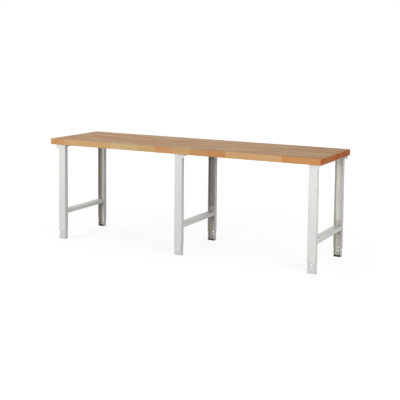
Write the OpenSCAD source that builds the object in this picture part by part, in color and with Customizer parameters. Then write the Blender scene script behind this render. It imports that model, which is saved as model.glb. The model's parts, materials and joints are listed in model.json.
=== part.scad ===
// Modular workbench: a solid wood worktop on a row of three welded H frames.
// Each leg is a bent steel channel, and a foot slides in it and is bolted at a row of holes.
// The origin is on the floor under the middle of the worktop, with the front towards -Y.

/* [Worktop] */
// Length of the worktop
top_length = 2500; // [1600:50:3000]
// Depth of the worktop
top_depth = 700; // [580:10:900]
// Thickness of the worktop
top_thickness = 50; // [44:1:60]
// Chamfer along the worktop's edges
top_chamfer = 1.5; // [0.5:0.5:4]
// Height of the work surface above the floor, as stored
work_height = 890; // [780:5:1000]

/* [Frames] */
// From the worktop's left end to the left frame's legs
left_overhang = 64; // [40:1:200]
// From the worktop's right end to the right frame's legs
right_overhang = 34; // [30:1:200]
// How far the middle frame stands to the right of the outer frames' midpoint
middle_offset = 4; // [-200:1:200]
// From the worktop's front and rear edges to the legs
leg_inset = 26; // [5:1:50]
// Thickness of the bent steel sheet
sheet = 2; // [1.5:0.1:3]
// Inner radius of the bends
bend_radius = 2; // [1:0.5:3]

/* [Legs] */
// Width of a leg's web
leg_width = 68; // [60:1:90]
// Depth of a leg's flanges
leg_depth = 42; // [38:1:50]
// Height of a leg's lower end above the floor
leg_end_height = 78; // [66:1:95]
// Least distance from a steel end to the middle of a hole
hole_edge = 15; // [10:1:20]

/* [Feet] */
// Length of a foot's channel
foot_length = 300; // [240:5:400]
// Gap between a foot's flanges and the leg's flanges
foot_side_gap = 0.75; // [0.4:0.05:1.5]
// Gap between a foot's web and the leg's web
foot_web_gap = 0.5; // [0.4:0.05:1]
// How far a foot's flanges end short of the leg's flanges
foot_back_gap = 1.5; // [0.5:0.5:4]
// Height of the doubled band round a foot's lower end
band_height = 10; // [6:1:14]
// Thickness of the doubled band
band_thickness = 2.4; // [1:0.1:3]
// Pitch of the holes that set the height
hole_pitch = 25; // [20:1:32]
// Height of a foot's lowest hole above the floor
first_hole_height = 47; // [40:1:60]
// Diameter of the height holes
foot_hole_diameter = 12; // [9:0.5:14]
// Height of a glide
glide_height = 7; // [5:1:14]
// Chamfer that clears the bends at a glide's corners
glide_corner = 2.5; // [2:0.1:4]
// Gap between a foot's steel edge and the floor
floor_gap = 1; // [0.5:0.1:2]

/* [Cross members] */
// Height of a stretcher's lower edge above the floor
stretcher_height = 228; // [200:1:300]
// Depth of a stretcher's side walls
stretcher_depth = 32; // [20:1:50]
// Distance between a stretcher's two shelf holes
shelf_hole_spacing = 360; // [200:5:380]
// Diameter of the shelf holes
shelf_hole_diameter = 9; // [6:0.5:12]
// Depth of a top rail's side walls
rail_depth = 20; // [14:1:40]
// Distance from a rail's middle screw to its outer ones
rail_screw_spacing = 200; // [100:5:220]

/* [Worktop brackets] */
// Width of a worktop bracket
bracket_width = 24; // [20:1:32]
// Height of a worktop bracket's face
bracket_height = 32; // [24:1:60]
// Depth of a worktop bracket's tab behind its face
bracket_depth = 40; // [30:1:60]
// Thickness of a worktop bracket
bracket_sheet = 2.5; // [2:0.1:4]
// Cut-off on a bracket face's lower corner
bracket_corner = 6; // [2:1:12]

/* [Fasteners] */
// Diameter of a foot bolt's shank
bolt_diameter = 8; // [6:0.5:8]
// Diameter of a foot bolt's domed head
bolt_head_diameter = 14; // [12:0.5:18]
// Diameter of the flat on top of a foot bolt's head
bolt_head_flat = 7; // [6.5:0.1:9]
// Height of a foot bolt's domed head
bolt_head_height = 4.4; // [3:0.1:6]
// Width across the flats of a foot bolt's socket
bolt_socket = 5; // [4:0.5:5.5]
// Diameter of a worktop screw's shank
screw_diameter = 6; // [4:0.5:7]
// Length of a worktop screw under its head
screw_length = 38; // [24:1:39]
// Width across the flats of a worktop screw's hexagon head
screw_head = 10; // [9:0.5:13]
// Height of a worktop screw's head
screw_head_height = 4; // [3:0.5:6]

/* [Hidden] */
$fn = 48;
SIDES = ["left", "middle", "right"];
ENDS = ["front", "rear"];
PLACES = [for (side = SIDES) for (end = ENDS) str(side, "_", end)];

FRAME_GREY = [0.86, 0.86, 0.84];
FOOT_GREY = [0.84, 0.84, 0.82];
BEECH = [0.78, 0.60, 0.40];
PLASTIC_BLACK = [0.10, 0.10, 0.11];
ZINC = [0.74, 0.75, 0.76];

// Radial clearances of a bolt in a leg, a screw in steel and a screw in wood
bolt_clearance = 0.2;
screw_clearance = 0.3;
pilot_clearance = 0.1;
// From a bolt's end to the foot's web
shank_end_gap = 0.3;
// From a screw's point to the bottom of its hole
pilot_end_gap = 1;
// How far a cut runs past the face that it opens
cut = 1;
// Straight pieces in a quarter turn of a bend or a bolt head
arc_steps = 6;

top_underside = work_height - top_thickness;
leg_face_y = top_depth / 2 - leg_inset;
left_x = left_overhang + leg_width / 2 - top_length / 2;
right_x = top_length / 2 - right_overhang - leg_width / 2;
middle_x = (left_x + right_x) / 2 + middle_offset;

foot_width = leg_width - 2 * sheet - 2 * foot_side_gap;
foot_face = sheet + foot_web_gap;
foot_depth = leg_depth - foot_face - foot_back_gap;
foot_top = floor_gap + foot_length;
last_foot_row = floor((foot_top - hole_edge - first_hole_height) / hole_pitch);
first_bolt_row = ceil((leg_end_height + hole_edge - first_hole_height) / hole_pitch);
bolt_rows = [first_bolt_row, first_bolt_row + 1];

stretcher_top = stretcher_height + stretcher_depth;
stretcher_length = 2 * (leg_face_y - leg_depth);
rail_length = 2 * (leg_face_y - sheet - bend_radius);
rail_width = leg_width - 2 * sheet;

function frame_x(side) = side == "left" ? left_x : side == "middle" ? middle_x : right_x;

// The left frame's brackets point left, and the other frames' point right
function bracket_side(side) = side == "left" ? -1 : 1;

function hole_height(row) = first_hole_height + row * hole_pitch;

// Middle of a bracket's tab, from the leg's corner where the bracket starts
tab_middle = [bracket_width / 2, bracket_sheet + bracket_depth / 2];

// Places of a frame's worktop screws, as [x, y] from the frame's middle
function tab_screws(side) = [for (end = [-1, 1]) [
    bracket_side(side) * (leg_width / 2 + tab_middle[0]),
    end * (leg_face_y - tab_middle[1])
]];
rail_screws = [for (step = [-1 : 1]) [0, step * rail_screw_spacing]];

// Quarter circle round [x, y], counterclockwise from the angle start
function quarter(x, y, radius, start) =
    [for (i = [0 : arc_steps]) let (a = start + 90 * i / arc_steps)
        [x + radius * cos(a), y + radius * sin(a)]];

// A rectangle from y = 0 upwards whose two lower corners are round
module bent_block(width, depth, radius) {
    polygon(concat(
        [[width / 2, depth], [-width / 2, depth]],
        quarter(radius - width / 2, radius, radius, 180),
        quarter(width / 2 - radius, radius, radius, 270)
    ));
}

// Section of a bent channel: web along X at y = 0, flanges towards +Y
module channel_section(width, depth) {
    difference() {
        bent_block(width, depth, bend_radius + sheet);
        translate([0, sheet])
            bent_block(width - 2 * sheet, depth, bend_radius);
    }
}

// A channel along Y that is open below, with its upper face at z = 0
module downward_channel(width, depth, length) {
    translate([0, length / 2, 0])
        rotate([90, 0, 0])
            linear_extrude(length)
                mirror([0, 1])
                    channel_section(width, depth);
}

// Section across the worktop, with its edges chamfered
module slab_section(width) {
    side = width / 2;
    flat = side - top_chamfer;
    polygon([
        [-flat, top_underside], [flat, top_underside],
        [side, top_underside + top_chamfer], [side, work_height - top_chamfer],
        [flat, work_height], [-flat, work_height],
        [-side, work_height - top_chamfer], [-side, top_underside + top_chamfer]
    ]);
}

module worktop() {
    color(BEECH)
        difference() {
            intersection() {
                translate([-top_length / 2, 0, 0])
                    rotate([90, 0, 90])
                        linear_extrude(top_length)
                            slab_section(top_depth);
                translate([0, top_depth / 2, 0])
                    rotate([90, 0, 0])
                        linear_extrude(top_depth)
                            slab_section(top_length);
            }
            for (side = SIDES)
                for (place = concat(tab_screws(side), rail_screws))
                    translate([frame_x(side) + place[0], place[1], top_underside])
                        pilot_hole();
        }
}

module pilot_hole() {
    depth = screw_length - sheet + pilot_end_gap;
    translate([0, 0, -cut])
        cylinder(d = screw_diameter + 2 * pilot_clearance, h = depth + cut);
}

// Round hole through a leg's or a foot's web, whose outer face is at y = face
module web_hole(height, diameter, face) {
    translate([0, face - cut, height])
        rotate([-90, 0, 0])
            cylinder(d = diameter, h = sheet + 2 * cut);
}

// A leg or foot stands at the origin with its web in front and its open side behind
module leg() {
    color(FRAME_GREY)
        difference() {
            translate([0, 0, leg_end_height])
                linear_extrude(top_underside - leg_end_height)
                    channel_section(leg_width, leg_depth);
            for (row = bolt_rows)
                web_hole(hole_height(row), bolt_diameter + 2 * bolt_clearance, 0);
        }
}

module foot() {
    color(FOOT_GREY)
        difference() {
            union() {
                translate([0, foot_face, floor_gap])
                    linear_extrude(foot_length)
                        channel_section(foot_width, foot_depth);
                translate([0, foot_face, floor_gap])
                    linear_extrude(band_height)
                        band_section();
            }
            for (row = [0 : last_foot_row])
                web_hole(hole_height(row), foot_hole_diameter, foot_face);
        }
}

// Section of the doubled band and the foot's web inside it
module band_section() {
    difference() {
        translate([0, -band_thickness])
            bent_block(foot_width + 2 * band_thickness, foot_depth + band_thickness,
                       bend_radius + sheet + band_thickness);
        translate([0, sheet])
            bent_block(foot_width - 2 * sheet, foot_depth, bend_radius);
    }
}

// Plug between the foot's flanges that stands on the floor
module glide() {
    side = foot_width / 2 - sheet;
    depth = foot_depth - sheet;
    color(PLASTIC_BLACK)
        translate([0, foot_face + sheet, 0])
            linear_extrude(glide_height)
                polygon([
                    [glide_corner - side, 0], [side - glide_corner, 0],
                    [side, glide_corner], [side, depth],
                    [-side, depth], [-side, glide_corner]
                ]);
}

// Domed bolt with a hexagon socket: head above z = 0, shank below
module bolt() {
    flat = bolt_head_flat / 2;
    dome = bolt_head_diameter / 2 - flat;
    difference() {
        union() {
            rotate_extrude()
                polygon(concat(
                    [[0, 0]],
                    [for (p = quarter(0, 0, 1, 0)) [flat + dome * p[0], bolt_head_height * p[1]]],
                    [[0, bolt_head_height]]
                ));
            mirror([0, 0, 1])
                cylinder(d = bolt_diameter, h = sheet + foot_web_gap - shank_end_gap);
        }
        translate([0, 0, bolt_head_height / 2])
            cylinder(d = bolt_socket / cos(30), h = bolt_head_height, $fn = 6);
    }
}

module foot_bolts() {
    color(ZINC)
        for (row = bolt_rows)
            translate([0, 0, hole_height(row)])
                rotate([90, 0, 0])
                    bolt();
}

module stretcher() {
    color(FRAME_GREY)
        difference() {
            translate([0, 0, stretcher_top])
                downward_channel(leg_width, stretcher_depth, stretcher_length);
            for (end = [-1, 1])
                translate([0, end * shelf_hole_spacing / 2, stretcher_top - sheet - cut])
                    cylinder(d = shelf_hole_diameter, h = sheet + 2 * cut);
        }
}

module top_rail() {
    color(FRAME_GREY)
        difference() {
            translate([0, 0, top_underside])
                downward_channel(rail_width, rail_depth, rail_length);
            for (place = rail_screws)
                translate([place[0], place[1], top_underside])
                    screw_hole(sheet);
        }
}

// Hole for a worktop screw down through steel whose upper face is at z = 0
module screw_hole(thickness) {
    translate([0, 0, -thickness - cut])
        cylinder(d = screw_diameter + 2 * screw_clearance, h = thickness + 2 * cut);
}

// Angle bracket that starts at a front leg's right corner, with its upper face at z = 0
module bracket() {
    difference() {
        union() {
            translate([0, bracket_sheet, 0])
                rotate([90, 0, 0])
                    linear_extrude(bracket_sheet)
                        polygon([
                            [0, 0], [bracket_width, 0],
                            [bracket_width, bracket_corner - bracket_height],
                            [bracket_width - bracket_corner, -bracket_height],
                            [0, -bracket_height]
                        ]);
            translate([0, 0, -bracket_sheet])
                cube([bracket_width, bracket_sheet + bracket_depth, bracket_sheet]);
        }
        translate([tab_middle[0], tab_middle[1], 0])
            screw_hole(bracket_sheet);
    }
}

// One frame's front and rear brackets
module worktop_brackets(side) {
    flip_x = bracket_side(side) < 0 ? 1 : 0;
    color(FRAME_GREY)
        translate([0, 0, top_underside])
            mirror([flip_x, 0, 0])
                for (flip_y = [0, 1])
                    mirror([0, flip_y, 0])
                        translate([leg_width / 2, -leg_face_y, 0])
                            bracket();
}

// Hexagon-headed wood screw that points upwards, with its head under z = 0
module wood_screw() {
    point = screw_diameter / 2;
    translate([0, 0, -screw_head_height])
        cylinder(d = screw_head / cos(30), h = screw_head_height, $fn = 6);
    cylinder(d = screw_diameter, h = screw_length - point);
    translate([0, 0, screw_length - point])
        cylinder(d1 = screw_diameter, d2 = screw_diameter / 4, h = point);
}

module worktop_screws(side) {
    color(ZINC) {
        for (place = tab_screws(side))
            translate([place[0], place[1], top_underside - bracket_sheet])
                wood_screw();
        for (place = rail_screws)
            translate([place[0], place[1], top_underside - sheet])
                wood_screw();
    }
}

// Places what a frame has once
module at_frame(side) {
    translate([frame_x(side), 0, 0])
        children();
}

// Places what each leg has: a rear leg is a front leg turned round
module at_leg(side, end) {
    at_frame(side)
        rotate([0, 0, end == "front" ? 0 : 180])
            translate([0, -leg_face_y, 0])
                children();
}

worktop();
for (side = SIDES) {
    at_frame(side) stretcher();
    at_frame(side) top_rail();
    at_frame(side) worktop_brackets(side);
    at_frame(side) worktop_screws(side);
    for (end = ENDS) {
        at_leg(side, end) leg();
        at_leg(side, end) foot();
        at_leg(side, end) glide();
        at_leg(side, end) foot_bolts();
    }
}
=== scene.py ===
import json
import math

import bmesh
import bpy
from mathutils import Matrix, Vector

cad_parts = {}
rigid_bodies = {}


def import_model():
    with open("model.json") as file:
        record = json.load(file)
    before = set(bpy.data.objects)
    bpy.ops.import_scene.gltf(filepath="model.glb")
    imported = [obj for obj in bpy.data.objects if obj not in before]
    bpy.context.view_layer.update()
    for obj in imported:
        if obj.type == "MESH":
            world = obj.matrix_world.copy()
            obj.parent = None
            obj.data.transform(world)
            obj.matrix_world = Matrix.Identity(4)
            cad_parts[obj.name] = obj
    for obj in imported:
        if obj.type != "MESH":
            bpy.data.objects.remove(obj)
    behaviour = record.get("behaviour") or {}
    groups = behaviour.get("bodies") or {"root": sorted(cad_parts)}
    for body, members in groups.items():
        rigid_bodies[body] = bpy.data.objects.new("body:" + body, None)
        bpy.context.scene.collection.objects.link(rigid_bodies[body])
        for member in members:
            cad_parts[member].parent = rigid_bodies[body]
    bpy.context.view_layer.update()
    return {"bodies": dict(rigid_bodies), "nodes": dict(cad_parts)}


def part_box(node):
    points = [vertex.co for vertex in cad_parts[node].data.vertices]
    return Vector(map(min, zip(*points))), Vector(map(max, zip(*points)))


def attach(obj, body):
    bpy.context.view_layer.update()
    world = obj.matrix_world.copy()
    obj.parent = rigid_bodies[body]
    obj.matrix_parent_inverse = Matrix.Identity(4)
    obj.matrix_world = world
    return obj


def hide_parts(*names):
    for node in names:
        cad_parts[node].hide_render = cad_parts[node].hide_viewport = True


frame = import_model()

SIDES = ("left", "middle", "right")
ENDS = ("front", "rear")
PLACES = [f"{side}_{end}" for side in SIDES for end in ENDS]

# Camera, from a fit to the photograph's edges: place in metres, angles in degrees
CAMERA_PLACE = (3.416127, -6.385856, 1.763499)
CAMERA_YAW = 27.821
CAMERA_PITCH = 5.306
CAMERA_ROLL = 0.564
FOCAL_PIXELS = 860.252
IMAGE_SIDE = 400
SENSOR_WIDTH = 36.0
SHIFT_Y = -0.2
CAMERA_REACH = 500.0

# Lamps: place, target, width and height in metres, power in watts, and whether gloss shows them
LAMPS = {
    "front_left_low": ((-3.17, -3.77, 1.27), (0.0, 0.0, 0.4), (1.6, 1.6), 66.6, True),
    "front_low": ((0.0, -4.92, 1.27), (0.0, 0.0, 0.4), (1.6, 1.6), 70.0, True),
    "right_low": ((4.26, -2.46, 1.27), (0.0, 0.0, 0.4), (1.6, 1.6), 48.1, True),
    "right_side_low": ((4.85, -0.85, 1.27), (0.0, 0.0, 0.4), (1.6, 1.6), 14.4, True),
    "right_near": ((2.37, -1.99, 1.23), (0.0, 0.0, 0.4), (1.2, 1.2), 10.8, True),
    "right_high": ((3.55, -2.05, 3.27), (0.0, 0.0, 0.4), (1.6, 1.6), 43.1, True),
    "left_near": ((-2.2, -2.2, 1.5), (-0.99, 0.2, 0.45), (0.8, 0.8), 6.5, True),
    "overhead": ((0.0, 0.42, 4.58), (0.0, 0.0, 0.6), (3.0, 1.6), 6.3, False),
    "left_high": ((-2.5, 0.0, 4.93), (0.0, 0.0, 0.6), (2.6, 2.0), 58.0, False),
    "back_left": ((-2.76, 4.77, 3.94), (0.0, 0.0, 0.5), (2.6, 2.6), 75.0, False),
    "back_right": ((2.76, 4.77, 3.94), (0.0, 0.0, 0.5), (2.6, 2.6), 75.0, False),
}
AMBIENT = 0.03
# A low, wide sun lights the rear: the way towards it, its width in degrees and its strength
REAR_SUN_WAY = (-0.33, 0.94, 0.08)
REAR_SUN_WIDTH = 30.0
REAR_SUN_STRENGTH = 1.25

# Floor: it glows less nearer than FLOOR_NEAR, so that shadows show, and is white from FLOOR_FAR on
FLOOR_RADIUS = 90.0
FLOOR_SIDES = 64
FLOOR_NEAR = 1.5
FLOOR_FAR = 5.0
FLOOR_GLOW = 0.85
FLOOR_ALBEDO = 0.20
FLOOR_MOTTLE = 0.8
# How far the feet slide up from where the part rests
FOOT_RISE = 0.05

# Powder coat: how light it is on legs, cross members and feet, and its slight green and yellow cast
LEG_LEVEL = 0.735
RAIL_LEVEL = 0.75
FOOT_LEVEL = 0.71
COAT_CAST = (0.997, 1.0, 0.968)
COAT_ROUGHNESS = (0.40, 0.50)
COAT_BUMP = 0.00012
# How fine its patterns are, per metre
COAT_CLOUDS = 5.0
COAT_STREAKS = (60.0, 60.0, 5.0)
COAT_PEEL = 850.0
COAT_SPECKS = 420.0
COAT_RUBS = 140.0
COAT_SHADE_MOTTLE = 22.0
COAT_SCRAPES = (1500.0, 1500.0, 26.0)
# How light its streaks, dust, specks, rubbed rims, scrapes and cut edges are beside it; the cut
# edges' tone is partly painted shade
STREAK_TONE = 0.86
DUST_TONE = 0.72
SPECK_TONE = 0.72
RUBBED_TONE = 0.66
SCRAPE_TONE = 0.70
CUT_EDGE_AND_SHADE_TONE = 0.30
# Height of the dust in metres, and how much of it and of the rubbed rims shows
DUST_HEIGHT = 0.10
DUST_SHARE = 0.10
RUBBED_SHARE = 0.30
# Limits in a channel's own box, whose middle is BOX_MIDDLE, and for how a face is turned
BOX_MIDDLE = (0.5, 0.5, 0.5)
RIM_BAND = (0.455, 0.495)
CUT_EDGE_FROM = 0.468
HOLLOW_FACING = -0.1
HALF_TURNED = 0.5
UPPER_FACING = 0.9
STRAIGHT_ON = 0.95
# How much of each colour the coating keeps inside a channel, on its web and on its flanges: painted
# shade, darker on the flanges
INSIDE_SHADE_TINTS = ((0.86, 0.83, 0.77), (0.56, 0.52, 0.45))
# The same for each frame's rear leg: painted shade, deepest on the middle one, and painted light on
# the right one's web
REAR_LEG_LIGHT_AND_SHADE = {
    "left": ((0.86, 0.83, 0.77), (0.48, 0.44, 0.38)),
    "middle": ((0.60, 0.57, 0.52), (0.42, 0.39, 0.33)),
    "right": ((1.18, 1.17, 1.12), (0.60, 0.57, 0.51)),
}
# The same inside the feet: painted shade, darker in the front feet
FRONT_FOOT_SHADE_TINTS = ((0.80, 0.77, 0.71), (0.42, 0.39, 0.34))
REAR_FOOT_SHADE_TINTS = ((0.96, 0.93, 0.87), (0.60, 0.56, 0.48))
# What the coat keeps of each colour on upward faces: painted shade under the worktop
UPPER_SHADE_TINT = (0.93, 0.93, 0.92)
# How far the sheet's cut edges show through the coat, partly as a dark line of painted shade
CUT_EDGE_SHARE = 0.75

# Zinc plate and moulded plastic
ZINC_DARK = (0.50, 0.51, 0.53, 1.0)
ZINC_LIGHT = (0.70, 0.71, 0.72, 1.0)
ZINC_ROUGHNESS = (0.52, 0.42)
ZINC_BLOTCHES = 220.0
ZINC_SCRATCHES = (900.0, 900.0, 4000.0)
ZINC_BUMP = 0.00005
PLASTIC_BLACK = (0.018, 0.018, 0.019, 1.0)
PLASTIC_SCUFFED = (0.05, 0.05, 0.052, 1.0)
PLASTIC_ROUGHNESS = (0.45, 0.62)
PLASTIC_GRAIN = 1400.0
PLASTIC_SCUFFS = (40.0, 40.0, 400.0)
PLASTIC_BUMP = 0.0001

# Worktop staves, with lengths in metres
STAVE_WIDTH = 0.04375
STAVE_LENGTH = 0.30
STAVE_ROWS = 16
STAVE_ROW_SHIFT = 37.31
STAVE_RANDOMNESS = 0.85
# Glue lines between staves: half their width in metres, and how dark they are
SEAM_HALF = 0.0005
SEAM_DARK = 0.45
# Left ends of the front edge's staves in metres, and their tones from orange to light tan
FRONT_STAVES = (
    (-1.25, 0.4), (-1.11, 0.7), (-0.625, 1.0), (-0.37, 0.7), (-0.19, 0.4), (-0.02, 0.55),
    (0.13, 0.3), (0.29, 0.15), (0.45, 0.6), (0.935, 0.05),
)
# The inner staves use this share of the tones, from this tone on
CALM = (0.62, 1.0, 1.0)
CALM_FROM = (0.17, 0.0, 0.0)
# Growth rings: rings per metre, how far they waver, and their darkness from early to late wood
RING_COUNT = 400.0
RING_WARP = 0.016
RING_TONES = ((0.00, 0.25), (0.12, 0.0), (0.60, 0.10), (0.88, 0.9), (0.97, 1.0), (1.00, 0.25))
# How far a stave's pith leans along the bench, and where it runs beside and under the stave
LEAN_ACROSS = 0.030
LEAN_UP = 0.035
PITH_ACROSS = 0.11
PITH_UP = (-0.16, -0.05)
# How fine fibres, rays and clouds are along x, y and z, per metre
FIBRE_STRETCH = (11.0, 520.0, 520.0)
RAY_STRETCH = (300.0, 1700.0, 1700.0)
CLOUD_STRETCH = (3.0, 26.0, 26.0)
WOOD_ROUGHNESS = (0.56, 0.68)
WOOD_BUMP = 0.0003
# Colours of the staves from orange to light tan
WOOD_TONES = (
    (0.00, (0.610, 0.308, 0.097, 1.0)),
    (0.20, (0.620, 0.318, 0.124, 1.0)),
    (0.40, (0.668, 0.370, 0.152, 1.0)),
    (0.60, (0.690, 0.429, 0.194, 1.0)),
    (0.80, (0.697, 0.466, 0.222, 1.0)),
    (1.00, (0.717, 0.530, 0.270, 1.0)),
)
# What the light and the dark figure and the rays keep of them
LIGHT_WOOD = (1.10, 1.14, 1.20)
DARK_WOOD = (0.76, 0.66, 0.56)
RAY_TINT = (0.86, 0.80, 0.74)
# How much of each colour the wood keeps on its sawn ends, and on its top and bottom faces, where
# painted shade and a greyish painted sheen make it darker and greyer
END_TINT = (0.68, 0.385, 0.275)
TOP_SHADE_AND_SHEEN_TINT = (0.727, 0.755, 0.875)
# What the top and bottom faces keep at the worktop's right end, as painted shade, and where this
# starts
RIGHT_END_SHADE = 0.88
RIGHT_END_FROM = 0.4
# How dark the rounded corners are
CORNER_SHARE = 0.35
# Colour casts between which the staves vary
PINK_CAST = (1.03, 0.955, 1.02, 1.0)
OLIVE_CAST = (0.98, 1.012, 0.985, 1.0)

# Steel frames, with lengths in metres
LEG_FACE_Y = 0.324
LEG_BACK_Y = 0.282
LEG_HALF = 0.034
RAIL_HALF = 0.032
RAIL_LOWER = 0.820
BRACKET_REACH = 0.01
# Weld beads: where they start and end, their radii, and how far they lie out of or in the sheet
STRETCHER_BEAD = (0.2315, 0.2565)
STRETCHER_BEAD_RADIUS = 0.0017
STRETCHER_BEAD_OUT = 0.0003
RAIL_BEAD = (0.285, 0.3165)
RAIL_BEAD_RADIUS = 0.0015
RAIL_BEAD_IN = 0.0008
RAIL_BEAD_UNDER = 0.0003
BRACKET_BEAD = (0.8095, 0.8385)
BRACKET_BEAD_RADIUS = 0.0019
BRACKET_BEAD_IN = 0.0012
BEAD_STEP = 0.0004
BEAD_RIPPLE = 0.0017
BEAD_CORNERS = 10
# Least square of a bead's swell at its tip, and its waves and sway beside its radius
BEAD_TIP = 0.04
BEAD_WAVE = 0.13
BEAD_SWAY = 0.12

# Glides, with lengths in metres from the middle of the leg's face
GLIDE_HEIGHT = 0.007
GLIDE_OUTLINE = (
    (-0.02675, 0.0045), (0.02675, 0.0045), (0.02925, 0.007),
    (0.02925, 0.0405), (-0.02925, 0.0405), (-0.02925, 0.007),
)
GLIDE_BEVEL = 0.0007
GLIDE_RIM = 0.0028
GLIDE_DRAFT = 0.0005
GLIDE_RECESS = 0.0035
GLIDE_SOLE_RECESS = 0.0012
# Lowest and highest corners of its ribs
GLIDE_RIBS = (
    ((-0.0109, 0.0075, 0.0031), (-0.0091, 0.0376, 0.0061)),
    ((0.0091, 0.0075, 0.0031), (0.0109, 0.0376, 0.0061)),
    ((-0.0262, 0.0216, 0.0032), (0.0262, 0.0234, 0.0057)),
)
RIB_BEVEL = 0.0003

worktop_low, worktop_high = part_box("worktop")


class Graph:
    """Short calls for the nodes that the materials share."""

    def __init__(self, tree):
        tree.nodes.clear()
        self.tree = tree

    def feed(self, socket, value):
        if isinstance(value, bpy.types.NodeSocket):
            self.tree.links.new(value, socket)
        else:
            socket.default_value = value

    def add(self, kind, inputs=(), **settings):
        node = self.tree.nodes.new(kind)
        for key, value in settings.items():
            setattr(node, key, value)
        for key, value in dict(inputs).items():
            self.feed(node.inputs[key], value)
        return node

    def math(self, operation, *values):
        node = self.add("ShaderNodeMath", enumerate(values), operation=operation)
        return node.outputs[0]

    def clamp(self, value):
        return self.add("ShaderNodeClamp", {"Value": value}).outputs[0]

    def remap(self, value, low, high, to_low=0.0, to_high=1.0):
        inputs = {"Value": value, "From Min": low, "From Max": high,
                  "To Min": to_low, "To Max": to_high}
        return self.add("ShaderNodeMapRange", inputs, clamp=True).outputs[0]

    def mix(self, factor, a, b, blend="MIX"):
        node = self.add("ShaderNodeMix", data_type="RGBA", blend_type=blend)
        self.feed(node.inputs[0], factor)
        self.feed(node.inputs[6], a)
        self.feed(node.inputs[7], b)
        return node.outputs[2]

    def point(self):
        return self.add("ShaderNodeTexCoord").outputs["Object"]

    def split(self, vector):
        return self.add("ShaderNodeSeparateXYZ", {0: vector}).outputs

    def join(self, x, y, z):
        return self.add("ShaderNodeCombineXYZ", {0: x, 1: y, 2: z}).outputs[0]

    def stretch(self, vector, scale):
        node = self.add("ShaderNodeMapping", {"Vector": vector, "Scale": scale})
        return node.outputs[0]

    def noise(self, vector, scale, detail=2.0, roughness=0.5):
        inputs = {"Vector": vector, "Scale": scale, "Detail": detail, "Roughness": roughness}
        return self.add("ShaderNodeTexNoise", inputs).outputs[0]

    def ramp(self, factor, stops, interpolation="LINEAR"):
        node = self.add("ShaderNodeValToRGB", {0: factor})
        band = node.color_ramp
        band.interpolation = interpolation
        while len(band.elements) < len(stops):
            band.elements.new(1.0)
        for element, (place, colour) in zip(band.elements, stops):
            element.position = place
            element.color = colour
        return node.outputs[0]

    def bump(self, height, distance, strength=1.0):
        inputs = {"Height": height, "Distance": distance, "Strength": strength}
        return self.add("ShaderNodeBump", inputs).outputs[0]

    def vector(self, operation, *values, output=0):
        node = self.add("ShaderNodeVectorMath", enumerate(values), operation=operation)
        return node.outputs[output]

    def axis(self, vector, number):
        return self.split(vector)[number]

    def tint(self, colour, share):
        return self.mix(1.0, colour, (*share, 1.0), "MULTIPLY")

    def surface(self, **inputs):
        named = {key.replace("_", " "): value for key, value in inputs.items()}
        shader = self.add("ShaderNodeBsdfPrincipled", named)
        self.finish(shader.outputs[0])

    def finish(self, shader):
        output = self.add("ShaderNodeOutputMaterial")
        self.feed(output.inputs["Surface"], shader)


def new_material(name):
    material = bpy.data.materials.new(name)
    material.use_nodes = True
    return material, Graph(material.node_tree)


def grey(level, warmth=0.0):
    return (level * (1 + warmth), level, level * (1 - warmth), 1.0)


def coat_tone(level, share=1.0):
    return (*(level * share * part for part in COAT_CAST), 1.0)


def hollow_mask(g, coords, length_axis):
    """1 on the faces that look into a channel's hollow, for a channel along this axis."""
    keep = [0.0 if axis == length_axis else 1.0 for axis in range(3)]
    centred = g.vector("SUBTRACT", coords["Generated"], BOX_MIDDLE)
    across = g.vector("MULTIPLY", centred, keep)
    facing = g.vector("DOT_PRODUCT", across, coords["Normal"], output="Value")
    return g.math("LESS_THAN", facing, HOLLOW_FACING)


def rim_mask(g, coords, length_axis):
    """1 in a narrow band along a channel's bends and free edges."""
    centred = g.split(g.vector("SUBTRACT", coords["Generated"], BOX_MIDDLE))
    normal = g.split(coords["Normal"])
    rims = None
    for axis in range(3):
        if axis == length_axis:
            continue
        near = g.remap(g.math("ABSOLUTE", centred[axis]), *RIM_BAND)
        aside = g.math("LESS_THAN", g.math("ABSOLUTE", normal[axis]), HALF_TURNED)
        band = g.math("MULTIPLY", near, aside)
        rims = band if rims is None else g.math("MAXIMUM", rims, band)
    return rims


def cut_edge_mask(g, coords, length_axis):
    """1 on a channel's free edges and ends, where the sheet was cut and its coat is thinner, and
    where a dark line of shade is painted.
    """
    centred = g.split(g.vector("SUBTRACT", coords["Generated"], BOX_MIDDLE))
    normal = g.split(coords["Normal"])
    open_axis = 2 if length_axis == 1 else 1
    outer = g.math("GREATER_THAN", g.math("ABSOLUTE", centred[0]), CUT_EDGE_FROM)
    square = g.math("GREATER_THAN", g.math("ABSOLUTE", normal[open_axis]), STRAIGHT_ON)
    ends = g.math("GREATER_THAN", g.math("ABSOLUTE", normal[length_axis]), STRAIGHT_ON)
    return g.math("MAXIMUM", g.math("MULTIPLY", outer, square), ends)


def coat_colour(g, point, cloud, level):
    """The coat's colour on a plain outer face."""
    streak = g.noise(g.stretch(point, COAT_STREAKS), 1.0, 3.0)
    speck = g.noise(point, COAT_SPECKS, 1.0)
    dust = g.remap(g.axis(point, 2), 0.0, DUST_HEIGHT, DUST_SHARE, 0.0)
    tone = g.ramp(cloud, ((0.3, coat_tone(level, 0.975)), (0.7, coat_tone(level, 1.02))))
    tone = g.mix(g.remap(streak, 0.5, 0.8, 0.0, 0.12), tone, coat_tone(level, STREAK_TONE))
    tone = g.mix(dust, tone, grey(level * DUST_TONE, 0.05))
    return g.mix(g.remap(speck, 0.66, 0.76, 0.0, 0.14), tone, coat_tone(level, SPECK_TONE))


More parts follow.
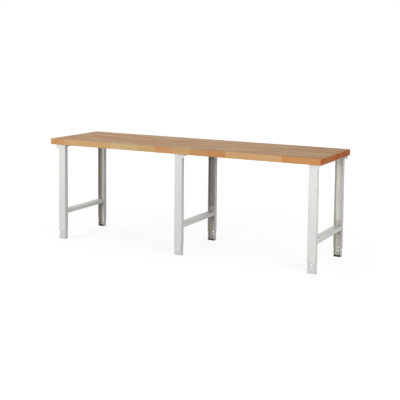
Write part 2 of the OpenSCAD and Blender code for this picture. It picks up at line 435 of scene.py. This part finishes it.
def channel_colour(g, coords, tone, level, length_axis, shade_tints, inside):
    """Adds a channel's rubbed rims, painted shade in its hollow and on its upward faces, and cut
    edges that are partly painted shade.
    """
    point = coords["Object"]
    rub = g.remap(g.noise(point, COAT_RUBS, 4.0, 0.7), 0.46, 0.62)
    rubbed = g.math("MULTIPLY", rim_mask(g, coords, length_axis), rub)
    tone = g.mix(g.math("MULTIPLY", rubbed, RUBBED_SHARE), tone, coat_tone(level, RUBBED_TONE))
    # Painted shade inside the hollow, in mottled patches, darker on the flanges than on the web
    inside_shade_mottle = g.remap(g.noise(point, COAT_SHADE_MOTTLE, 3.0), 0.35, 0.75, 0.85, 1.0)
    sideways = g.math("ABSOLUTE", g.axis(coords["Normal"], 0))
    flange = g.math("GREATER_THAN", sideways, HALF_TURNED)
    hollow_shade = g.mix(flange, g.tint(tone, shade_tints[0]), g.tint(tone, shade_tints[1]))
    tone = g.mix(g.math("MULTIPLY", inside, inside_shade_mottle), tone, hollow_shade)
    # Painted shade on upward faces, which lie under the worktop
    upper = g.math("GREATER_THAN", g.axis(coords["Normal"], 2), UPPER_FACING)
    tone = g.mix(upper, tone, g.tint(tone, UPPER_SHADE_TINT))
    # Cut edges darkened: partly a thinner coat, partly a painted line of shade
    cut = g.math("MULTIPLY", cut_edge_mask(g, coords, length_axis), CUT_EDGE_SHARE)
    return g.mix(cut, tone, coat_tone(level, CUT_EDGE_AND_SHADE_TONE))


def slide_marks(g, point):
    """1 in the scrapes that sliding leaves along a foot, with fewer of them near the floor."""
    scrape = g.noise(g.stretch(point, COAT_SCRAPES), 1.0, 2.0)
    growth = g.remap(g.axis(point, 2), 0.05, 0.30, 0.35, 1.0)
    return g.math("MULTIPLY", g.remap(scrape, 0.62, 0.70), growth)


def powder_coat(name, level, length_axis=None, slides=False, shade_tints=INSIDE_SHADE_TINTS):
    """Fine-textured light-grey coating, with painted shade inside the channels."""
    material, g = new_material(name)
    coords = g.add("ShaderNodeTexCoord").outputs
    point = coords["Object"]
    cloud = g.noise(point, COAT_CLOUDS, 3.0)
    tone = coat_colour(g, point, cloud, level)
    rough = g.remap(cloud, 0.3, 0.7, *COAT_ROUGHNESS)
    relief = g.noise(point, COAT_PEEL, 2.0)
    if length_axis is not None:
        inside = hollow_mask(g, coords, length_axis)
        tone = channel_colour(g, coords, tone, level, length_axis, shade_tints, inside)
        rough = g.math("ADD", rough, g.math("MULTIPLY", inside, 0.12))
    if slides:
        marks = slide_marks(g, point)
        tone = g.mix(g.math("MULTIPLY", marks, 0.35), tone, coat_tone(level, SCRAPE_TONE))
        rough = g.math("SUBTRACT", rough, g.math("MULTIPLY", marks, 0.10))
        relief = g.math("SUBTRACT", relief, g.math("MULTIPLY", marks, 0.6))
    g.surface(Base_Color=tone, Roughness=rough, Normal=g.bump(relief, COAT_BUMP, 0.55))
    return material


def zinc_plate():
    material, g = new_material("zinc_plate")
    point = g.point()
    blotch = g.noise(point, ZINC_BLOTCHES, 3.0)
    tone = g.ramp(blotch, ((0.3, ZINC_DARK), (0.7, ZINC_LIGHT)))
    rough = g.remap(blotch, 0.3, 0.7, *ZINC_ROUGHNESS)
    scratch = g.noise(g.stretch(point, ZINC_SCRATCHES), 1.0, 2.0)
    g.surface(Base_Color=tone, Metallic=1.0, Roughness=rough,
              Normal=g.bump(scratch, ZINC_BUMP, 0.5))
    return material


def moulded_plastic():
    material, g = new_material("moulded_plastic")
    point = g.point()
    grain = g.noise(point, PLASTIC_GRAIN, 2.0)
    scuff = g.noise(g.stretch(point, PLASTIC_SCUFFS), 1.0, 3.0)
    tone = g.ramp(scuff, ((0.45, PLASTIC_BLACK), (0.75, PLASTIC_SCUFFED)))
    rough = g.remap(scuff, 0.3, 0.7, *PLASTIC_ROUGHNESS)
    g.surface(Base_Color=tone, Roughness=rough, Normal=g.bump(grain, PLASTIC_BUMP, 0.5))
    return material


def front_staves(g, x):
    """The tone and two more numbers of the front edge's stave here, and how near its joint is."""
    share = g.remap(x, worktop_low[0], worktop_high[0])
    length = worktop_high[0] - worktop_low[0]
    stops = []
    nearest = 1.0
    for place, tone in FRONT_STAVES:
        start = (place - worktop_low[0]) / length
        shift_a = (start * 7.3 + 0.31) % 1.0
        shift_b = (start * 5.9) % 0.3 + 0.35
        stops.append((start, (tone, shift_a, shift_b, 1.0)))
        gap = g.math("ABSOLUTE", g.math("SUBTRACT", x, place))
        nearest = g.math("MINIMUM", gap, nearest)
    return g.ramp(share, stops, "CONSTANT"), nearest


def stave_pattern(g, x, y):
    """Three random numbers for each stave, its distances to its sides, and its butt joints."""
    across = g.math("DIVIDE", g.math("SUBTRACT", y, worktop_low[1]), STAVE_WIDTH)
    row = g.math("MINIMUM", g.math("FLOOR", g.math("MAXIMUM", across, 0.0)), STAVE_ROWS - 1.0)
    along = g.math("DIVIDE", x, STAVE_LENGTH)
    key = g.math("ADD", along, g.math("MULTIPLY", row, STAVE_ROW_SHIFT))
    inputs = {"W": key, "Scale": 1.0, "Randomness": STAVE_RANDOMNESS}
    cells = g.add("ShaderNodeTexVoronoi", inputs, voronoi_dimensions="1D")
    edges = g.add("ShaderNodeTexVoronoi", inputs, voronoi_dimensions="1D",
                  feature="DISTANCE_TO_EDGE")
    end_gap = g.math("MULTIPLY", edges.outputs["Distance"], STAVE_LENGTH)
    front, front_gap = front_staves(g, x)
    in_front = g.math("LESS_THAN", row, 0.5)
    calm = g.mix(1.0, cells.outputs["Color"], (*CALM, 1.0), "MULTIPLY")
    calm = g.mix(1.0, calm, (*CALM_FROM, 1.0), "ADD")
    numbers = g.split(g.mix(in_front, calm, front))
    end_gap = g.add("ShaderNodeMix", {0: in_front, 2: end_gap, 3: front_gap}).outputs[0]
    side_gap = g.math("MULTIPLY", g.math("PINGPONG", across, 0.5), STAVE_WIDTH)
    return numbers, row, side_gap, end_gap


def pith_line(g, x, shift_a, shift_b):
    """Where a stave's pith runs, across and up from the stave's middle."""
    lean_y = g.math("MULTIPLY", x, g.remap(shift_b, 0.0, 1.0, -LEAN_ACROSS, LEAN_ACROSS))
    lean_z = g.math("MULTIPLY", x, g.remap(shift_a, 0.0, 1.0, LEAN_UP, -LEAN_UP))
    pith_y = g.math("ADD", lean_y, g.remap(shift_a, 0.0, 1.0, -PITH_ACROSS, PITH_ACROSS))
    pith_z = g.math("ADD", lean_z, g.remap(shift_b, 0.0, 1.0, *PITH_UP))
    return pith_y, pith_z


def growth_rings(g, x, y, z, row, shift_a, shift_b):
    """0 in early wood and 1 in late wood, from rings round a pith line that differs by stave."""
    middle = g.math("MULTIPLY", g.math("ADD", row, 0.5), STAVE_WIDTH)
    local_y = g.math("SUBTRACT", y, g.math("ADD", middle, worktop_low[1]))
    local_z = g.math("SUBTRACT", z, (worktop_low[2] + worktop_high[2]) / 2)
    pith_y, pith_z = pith_line(g, x, shift_a, shift_b)
    slow = g.join(g.math("ADD", g.math("MULTIPLY", x, 2.2), g.math("MULTIPLY", shift_a, 90.0)),
                  g.math("MULTIPLY", local_y, 9.0), g.math("MULTIPLY", local_z, 9.0))
    warp = g.math("SUBTRACT", g.noise(slow, 1.0, 3.0, 0.55), 0.5)
    off_y = g.math("SUBTRACT", local_y, pith_y)
    off_z = g.math("SUBTRACT", local_z, pith_z)
    square = g.math("ADD", g.math("POWER", off_y, 2.0), g.math("POWER", off_z, 2.0))
    radius = g.math("ADD", g.math("SQRT", square), g.math("MULTIPLY", warp, RING_WARP))
    ring = g.math("FRACT", g.math("MULTIPLY", radius, RING_COUNT))
    return g.ramp(ring, [(place, grey(tone)) for place, tone in RING_TONES])


def stretched(g, place, stretch, start=None):
    """A place in the wood, stretched along each axis and shifted along the bench."""
    along, across, up = (g.math("MULTIPLY", part, by) for part, by in zip(place, stretch))
    if start is not None:
        along = g.math("ADD", along, start)
    return g.join(along, across, up)


def squarely(g, part):
    """Near 1 on faces that look along this part of the normal."""
    return g.math("POWER", g.math("ABSOLUTE", part), 4.0)


def wood_figure(g, ring, fibre, cloud, end_grain):
    """0 for light wood and 1 for dark wood, from rings, fibres and clouds."""
    figure = g.math("ADD", g.math("MULTIPLY", ring, 0.34), g.remap(fibre, 0.34, 0.72, 0.0, 0.40))
    figure = g.math("ADD", figure, g.remap(cloud, 0.35, 0.70, -0.06, 0.22))
    at_end = g.math("MULTIPLY", end_grain, g.math("MULTIPLY", ring, 0.35))
    return g.clamp(g.math("ADD", figure, at_end))


def face_colour(g, x, normal, wood, dark):
    """Makes the sawn ends and the corners darker, and paints shade and a greyish sheen on the top
    and bottom faces, with more shade towards the right end.
    """
    nx, ny, nz = normal
    wood = g.mix(squarely(g, nx), wood, g.tint(wood, END_TINT))
    # Painted shade growing towards the right end, and painted shade and sheen on the top and bottom
    # faces
    right_end_shade = g.remap(x, RIGHT_END_FROM, worktop_high[0], 1.0, RIGHT_END_SHADE)
    top_shade_and_sheen = g.mix(1.0, g.tint(wood, TOP_SHADE_AND_SHEEN_TINT), g.join(right_end_shade, right_end_shade, right_end_shade), "MULTIPLY")
    wood = g.mix(squarely(g, nz), wood, top_shade_and_sheen)
    largest = g.math("MAXIMUM", g.math("ABSOLUTE", nx),
                     g.math("MAXIMUM", g.math("ABSOLUTE", ny), g.math("ABSOLUTE", nz)))
    return g.mix(g.remap(largest, 0.95, 0.75, 0.0, CORNER_SHARE), wood, dark)


def beech():
    """Solid beech made of glued staves, with rings, fibres and rays that run through the wood."""
    material, g = new_material("beech")
    coords = g.add("ShaderNodeTexCoord").outputs
    place = x, y, z = tuple(g.split(coords["Object"]))
    normal = tuple(g.split(coords["Normal"]))
    (tone, shift_a, shift_b), row, side_gap, end_gap = stave_pattern(g, x, y)
    ring = growth_rings(g, x, y, z, row, shift_a, shift_b)
    start = g.math("MULTIPLY", shift_b, 50.0)
    fibre = g.noise(stretched(g, place, FIBRE_STRETCH, start), 1.0, 4.0, 0.62)
    ray = g.remap(g.noise(stretched(g, place, RAY_STRETCH), 1.0, 0.0), 0.60, 0.70)
    cloud = g.noise(stretched(g, place, CLOUD_STRETCH, start), 1.0, 3.0)
    end_grain = squarely(g, normal[0])

    wood = g.ramp(tone, WOOD_TONES)
    cast = g.ramp(shift_b, ((0.15, PINK_CAST), (0.85, OLIVE_CAST)))
    wood = g.mix(1.0, wood, cast, "MULTIPLY")
    light = g.tint(wood, LIGHT_WOOD)
    dark = g.tint(wood, DARK_WOOD)
    wood = g.mix(wood_figure(g, ring, fibre, cloud, end_grain), light, dark)
    wood = g.mix(g.math("MULTIPLY", ray, 0.45), wood, g.tint(dark, RAY_TINT))
    wood = face_colour(g, x, normal, wood, dark)
    seam = g.math("MAXIMUM", g.remap(side_gap, 0.0, SEAM_HALF, SEAM_DARK, 0.0),
                  g.remap(end_gap, 0.0, SEAM_HALF, SEAM_DARK, 0.0))
    wood = g.mix(seam, wood, dark)

    rough = g.remap(fibre, 0.3, 0.7, *WOOD_ROUGHNESS)
    rough = g.math("ADD", rough, g.math("MULTIPLY", end_grain, 0.2))
    relief = g.math("SUBTRACT", g.math("MULTIPLY", fibre, 0.6), g.math("MULTIPLY", ray, 0.4))
    relief = g.math("SUBTRACT", relief, seam)
    g.surface(Base_Color=wood, Roughness=rough, Specular_IOR_Level=0.22,
              Normal=g.bump(relief, WOOD_BUMP, 0.5))
    return material


def dress(node, material):
    """Gives every material slot of a CAD node's object this material."""
    piece = frame["nodes"][node]
    if not piece.material_slots:
        piece.data.materials.append(material)
    for slot in piece.material_slots:
        slot.link = "OBJECT"
        slot.material = material


def dress_frame():
    """Gives every CAD node its material, and returns the coat for the welds and the plastic."""
    leg_coat = powder_coat("leg_coat", LEG_LEVEL, length_axis=2)
    rail_coat = powder_coat("rail_coat", RAIL_LEVEL, length_axis=1)
    plain_coat = powder_coat("plain_coat", LEG_LEVEL)
    foot_coats = {
        "front": powder_coat("foot_coat", FOOT_LEVEL, length_axis=2, slides=True,
                             shade_tints=FRONT_FOOT_SHADE_TINTS),
        "rear": powder_coat("rear_foot_coat", FOOT_LEVEL, length_axis=2, slides=True,
                            shade_tints=REAR_FOOT_SHADE_TINTS),
    }
    zinc = zinc_plate()
    plastic = moulded_plastic()
    dress("worktop", beech())
    for side in SIDES:
        dress(f"{side}_stretcher", rail_coat)
        dress(f"{side}_top_rail", rail_coat)
        dress(f"{side}_worktop_brackets", plain_coat)
        dress(f"{side}_worktop_screws", zinc)
        # Each rear leg's coat carries its own painted shade, and on the right one painted light
        rear_leg_light_and_shade_coat = powder_coat(f"{side}_rear_leg_light_and_shade_coat", LEG_LEVEL, length_axis=2,
                                shade_tints=REAR_LEG_LIGHT_AND_SHADE[side])
        dress(f"{side}_front_leg", leg_coat)
        dress(f"{side}_rear_leg", rear_leg_light_and_shade_coat)
        for end in ENDS:
            dress(f"{side}_{end}_foot", foot_coats[end])
    for place in PLACES:
        dress(f"{place}_glide", plastic)
        dress(f"{place}_foot_bolts", zinc)
    return plain_coat, plastic


def frame_x(side):
    """Middle of a frame along the bench, from its stretcher."""
    low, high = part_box(f"{side}_stretcher")
    return (low[0] + high[0]) / 2


def add_bead(shape, start, end, radius):
    """A closed weld bead between two points: a rippled rod with rounded ends."""
    start, end = Vector(start), Vector(end)
    length = (end - start).length
    turn = (end - start).to_track_quat("Z", "Y")
    rings = round(length / BEAD_STEP)
    loops = []
    for number in range(rings + 1):
        along = length * number / rings
        gap = min(along, length - along) / radius
        swell = math.sqrt(max(BEAD_TIP, 1.0 - (1.0 - min(1.0, gap)) ** 2))
        wave = math.sin(2 * math.pi * along / BEAD_RIPPLE + start.x * 40.0)
        size = radius * swell * (1.0 + BEAD_WAVE * wave)
        sway = radius * BEAD_SWAY * math.sin(along * 700.0 + start.y * 90.0)
        loop = []
        for corner in range(BEAD_CORNERS):
            angle = 2 * math.pi * corner / BEAD_CORNERS
            spot = Vector((size * math.cos(angle) + sway, size * math.sin(angle), along))
            loop.append(shape.verts.new(start + turn @ spot))
        loops.append(loop)
    for lower, upper in zip(loops, loops[1:]):
        for corner in range(BEAD_CORNERS):
            after = (corner + 1) % BEAD_CORNERS
            shape.faces.new((lower[corner], lower[after], upper[after], upper[corner]))
    shape.faces.new(reversed(loops[0]))
    shape.faces.new(loops[-1])


def frame_beads(side):
    """Start, end and radius of a frame's weld beads."""
    middle = frame_x(side)
    beads = []
    for way in (-1, 1):
        for end in (-1, 1):
            x, y = middle + way * (LEG_HALF + STRETCHER_BEAD_OUT), end * LEG_BACK_Y
            low, high = STRETCHER_BEAD
            beads.append(((x, y, low), (x, y, high), STRETCHER_BEAD_RADIUS))
            x, z = middle + way * (RAIL_HALF - RAIL_BEAD_IN), RAIL_LOWER - RAIL_BEAD_UNDER
            near, far = RAIL_BEAD
            beads.append(((x, end * near, z), (x, end * far, z), RAIL_BEAD_RADIUS))
    low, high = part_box(f"{side}_worktop_brackets")
    way = 1 if high[0] - middle > LEG_HALF + BRACKET_REACH else -1
    for end in (-1, 1):
        x = middle + way * (LEG_HALF - BRACKET_BEAD_IN)
        y = end * (LEG_FACE_Y - BRACKET_BEAD_IN)
        low, high = BRACKET_BEAD
        beads.append(((x, y, low), (x, y, high), BRACKET_BEAD_RADIUS))
    return beads


def make_piece(name, shape, material, body):
    """Turns a bmesh into a piece that rides on a body."""
    bmesh.ops.recalc_face_normals(shape, faces=shape.faces)
    mesh = bpy.data.meshes.new(name)
    shape.to_mesh(mesh)
    shape.free()
    mesh.materials.append(material)
    piece = bpy.data.objects.new(name, mesh)
    bpy.context.scene.collection.objects.link(piece)
    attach(piece, body)
    return piece


def make_welds(coat):
    for side in SIDES:
        shape = bmesh.new()
        for start, end, radius in frame_beads(side):
            add_bead(shape, start, end, radius)
        piece = make_piece(f"{side}_frame_welds", shape, coat, "bench")
        for face in piece.data.polygons:
            face.use_smooth = True


def add_block(shape, low, high, bevel):
    """A closed box with rounded edges."""
    middle = [(a + b) / 2 for a, b in zip(low, high)]
    size = [b - a for a, b in zip(low, high)]
    placed = Matrix.Translation(middle) @ Matrix.Diagonal((*size, 1.0))
    made = bmesh.ops.create_cube(shape, size=1.0, matrix=placed)
    edges = {edge for vert in made["verts"] for edge in vert.link_edges}
    bmesh.ops.bevel(shape, geom=list(edges), offset=bevel, segments=2, profile=0.5,
                    affect="EDGES")


def glide_shape():
    """Moulded plug: rounded edges, a hollow above with ribs, and a raised ring below."""
    shape = bmesh.new()
    base = shape.faces.new([shape.verts.new((x, y, 0.0)) for x, y in GLIDE_OUTLINE])
    grown = bmesh.ops.extrude_face_region(shape, geom=[base])
    lifted = [item for item in grown["geom"] if isinstance(item, bmesh.types.BMVert)]
    bmesh.ops.translate(shape, verts=lifted, vec=(0.0, 0.0, GLIDE_HEIGHT))
    bmesh.ops.recalc_face_normals(shape, faces=shape.faces)
    bmesh.ops.bevel(shape, geom=list(shape.edges), offset=GLIDE_BEVEL, segments=3, profile=0.5,
                    affect="EDGES")
    for up, depth in ((1, GLIDE_RECESS), (-1, GLIDE_SOLE_RECESS)):
        flat = max((face for face in shape.faces if face.normal.z * up > 0.99),
                   key=lambda face: face.calc_area())
        bmesh.ops.inset_region(shape, faces=[flat], thickness=GLIDE_RIM, depth=0.0)
        bmesh.ops.inset_region(shape, faces=[flat], thickness=GLIDE_DRAFT, depth=-depth)
    for low, high in GLIDE_RIBS:
        add_block(shape, low, high, RIB_BEVEL)
    return shape


def make_glides(plastic):
    for side in SIDES:
        for end in ENDS:
            place = f"{side}_{end}"
            way = 1 if end == "front" else -1
            shape = glide_shape()
            turn = Matrix.Diagonal((way, way, 1.0, 1.0))
            shift = Matrix.Translation((frame_x(side), -way * LEG_FACE_Y, 0.0))
            bmesh.ops.transform(shape, matrix=shift @ turn, verts=shape.verts)
            piece = make_piece(f"{place}_moulded_glide", shape, plastic,
                               f"{place}_foot_unit")
            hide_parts(f"{place}_glide")


def seen_directly(g):
    """1 where a camera, glossy or transmission ray looks, otherwise 0."""
    rays = g.add("ShaderNodeLightPath").outputs
    shiny = g.math("MAXIMUM", rays["Is Glossy Ray"], rays["Is Transmission Ray"])
    return g.math("MAXIMUM", rays["Is Camera Ray"], shiny)


def make_world():
    world = bpy.data.worlds.new("studio")
    world.use_nodes = True
    g = Graph(world.node_tree)
    ambient = g.add("ShaderNodeBackground", {"Color": grey(1.0), "Strength": AMBIENT})
    white = g.add("ShaderNodeBackground", {"Color": grey(1.0), "Strength": 1.0})
    mixed = g.add("ShaderNodeMixShader", {0: seen_directly(g), 1: ambient.outputs[0],
                                          2: white.outputs[0]})
    output = g.add("ShaderNodeOutputWorld")
    g.feed(output.inputs["Surface"], mixed.outputs[0])
    bpy.context.scene.world = world


def make_floor():
    mesh = bpy.data.meshes.new("floor")
    shape = bmesh.new()
    bmesh.ops.create_circle(shape, cap_ends=True, radius=FLOOR_RADIUS,
                            segments=FLOOR_SIDES)
    shape.to_mesh(mesh)
    shape.free()
    floor = bpy.data.objects.new("floor", mesh)
    bpy.context.scene.collection.objects.link(floor)
    material, g = new_material("studio_floor")
    mottle = g.noise(g.point(), FLOOR_MOTTLE, 2.0)
    tone = g.ramp(mottle, ((0.3, grey(FLOOR_ALBEDO * 0.99)), (0.7, grey(FLOOR_ALBEDO))))
    matt = g.add("ShaderNodeBsdfDiffuse", {"Color": tone})
    away = g.add("ShaderNodeVectorMath", {0: g.point()}, operation="LENGTH").outputs["Value"]
    level = g.remap(away, FLOOR_NEAR, FLOOR_FAR, FLOOR_GLOW, 1.0)
    glow = g.add("ShaderNodeEmission", {"Strength": g.math("MULTIPLY", seen_directly(g), level)})
    both = g.add("ShaderNodeAddShader", {0: matt.outputs[0], 1: glow.outputs[0]})
    g.finish(both.outputs[0])
    mesh.materials.append(material)
    return floor


def keep_under_feet(floor):
    """Lets the floor meet the lowest foot wherever the feet are set."""
    floor.location.z = FOOT_RISE
    for place in PLACES:
        limit = floor.constraints.new("FLOOR")
        limit.target = frame["bodies"][f"{place}_foot_unit"]
        limit.floor_location = "FLOOR_NEGATIVE_Z"


def make_camera():
    yaw = math.radians(CAMERA_YAW)
    pitch = math.radians(CAMERA_PITCH)
    roll = math.radians(CAMERA_ROLL)
    forward = Vector((-math.sin(yaw) * math.cos(pitch), math.cos(yaw) * math.cos(pitch),
                      -math.sin(pitch)))
    level = Vector((math.cos(yaw), math.sin(yaw), 0.0))
    upright = level.cross(forward)
    right = level * math.cos(roll) + upright * math.sin(roll)
    up = upright * math.cos(roll) - level * math.sin(roll)
    data = bpy.data.cameras.new("camera")
    data.sensor_width = SENSOR_WIDTH
    data.lens = FOCAL_PIXELS * SENSOR_WIDTH / IMAGE_SIDE
    data.shift_y = SHIFT_Y
    data.clip_end = CAMERA_REACH
    camera = bpy.data.objects.new("camera", data)
    turn = Matrix((right, up, -forward)).transposed().to_4x4()
    camera.matrix_world = Matrix.Translation(CAMERA_PLACE) @ turn
    bpy.context.scene.collection.objects.link(camera)
    bpy.context.scene.camera = camera


def make_lamp(name, place, target, size, power, in_gloss):
    data = bpy.data.lights.new(name, "AREA")
    data.shape = "RECTANGLE"
    data.size, data.size_y = size
    data.energy = power
    lamp = bpy.data.objects.new(name, data)
    lamp.location = place
    lamp.visible_glossy = in_gloss
    aim = Vector(target) - Vector(place)
    lamp.rotation_euler = aim.to_track_quat("-Z", "Y").to_euler()
    bpy.context.scene.collection.objects.link(lamp)


def make_rear_sun():
    data = bpy.data.lights.new("rear_sun", "SUN")
    data.energy = REAR_SUN_STRENGTH
    data.angle = math.radians(REAR_SUN_WIDTH)
    lamp = bpy.data.objects.new("rear_sun", data)
    lamp.visible_glossy = False
    lamp.rotation_euler = Vector(REAR_SUN_WAY).to_track_quat("Z", "Y").to_euler()
    bpy.context.scene.collection.objects.link(lamp)


def make_studio():
    make_world()
    keep_under_feet(make_floor())
    make_camera()
    for name, settings in LAMPS.items():
        make_lamp(name, *settings)
    make_rear_sun()
    bpy.context.scene.view_settings.view_transform = "Standard"


plain_coat, plastic = dress_frame()
make_welds(plain_coat)
make_glides(plastic)
make_studio()
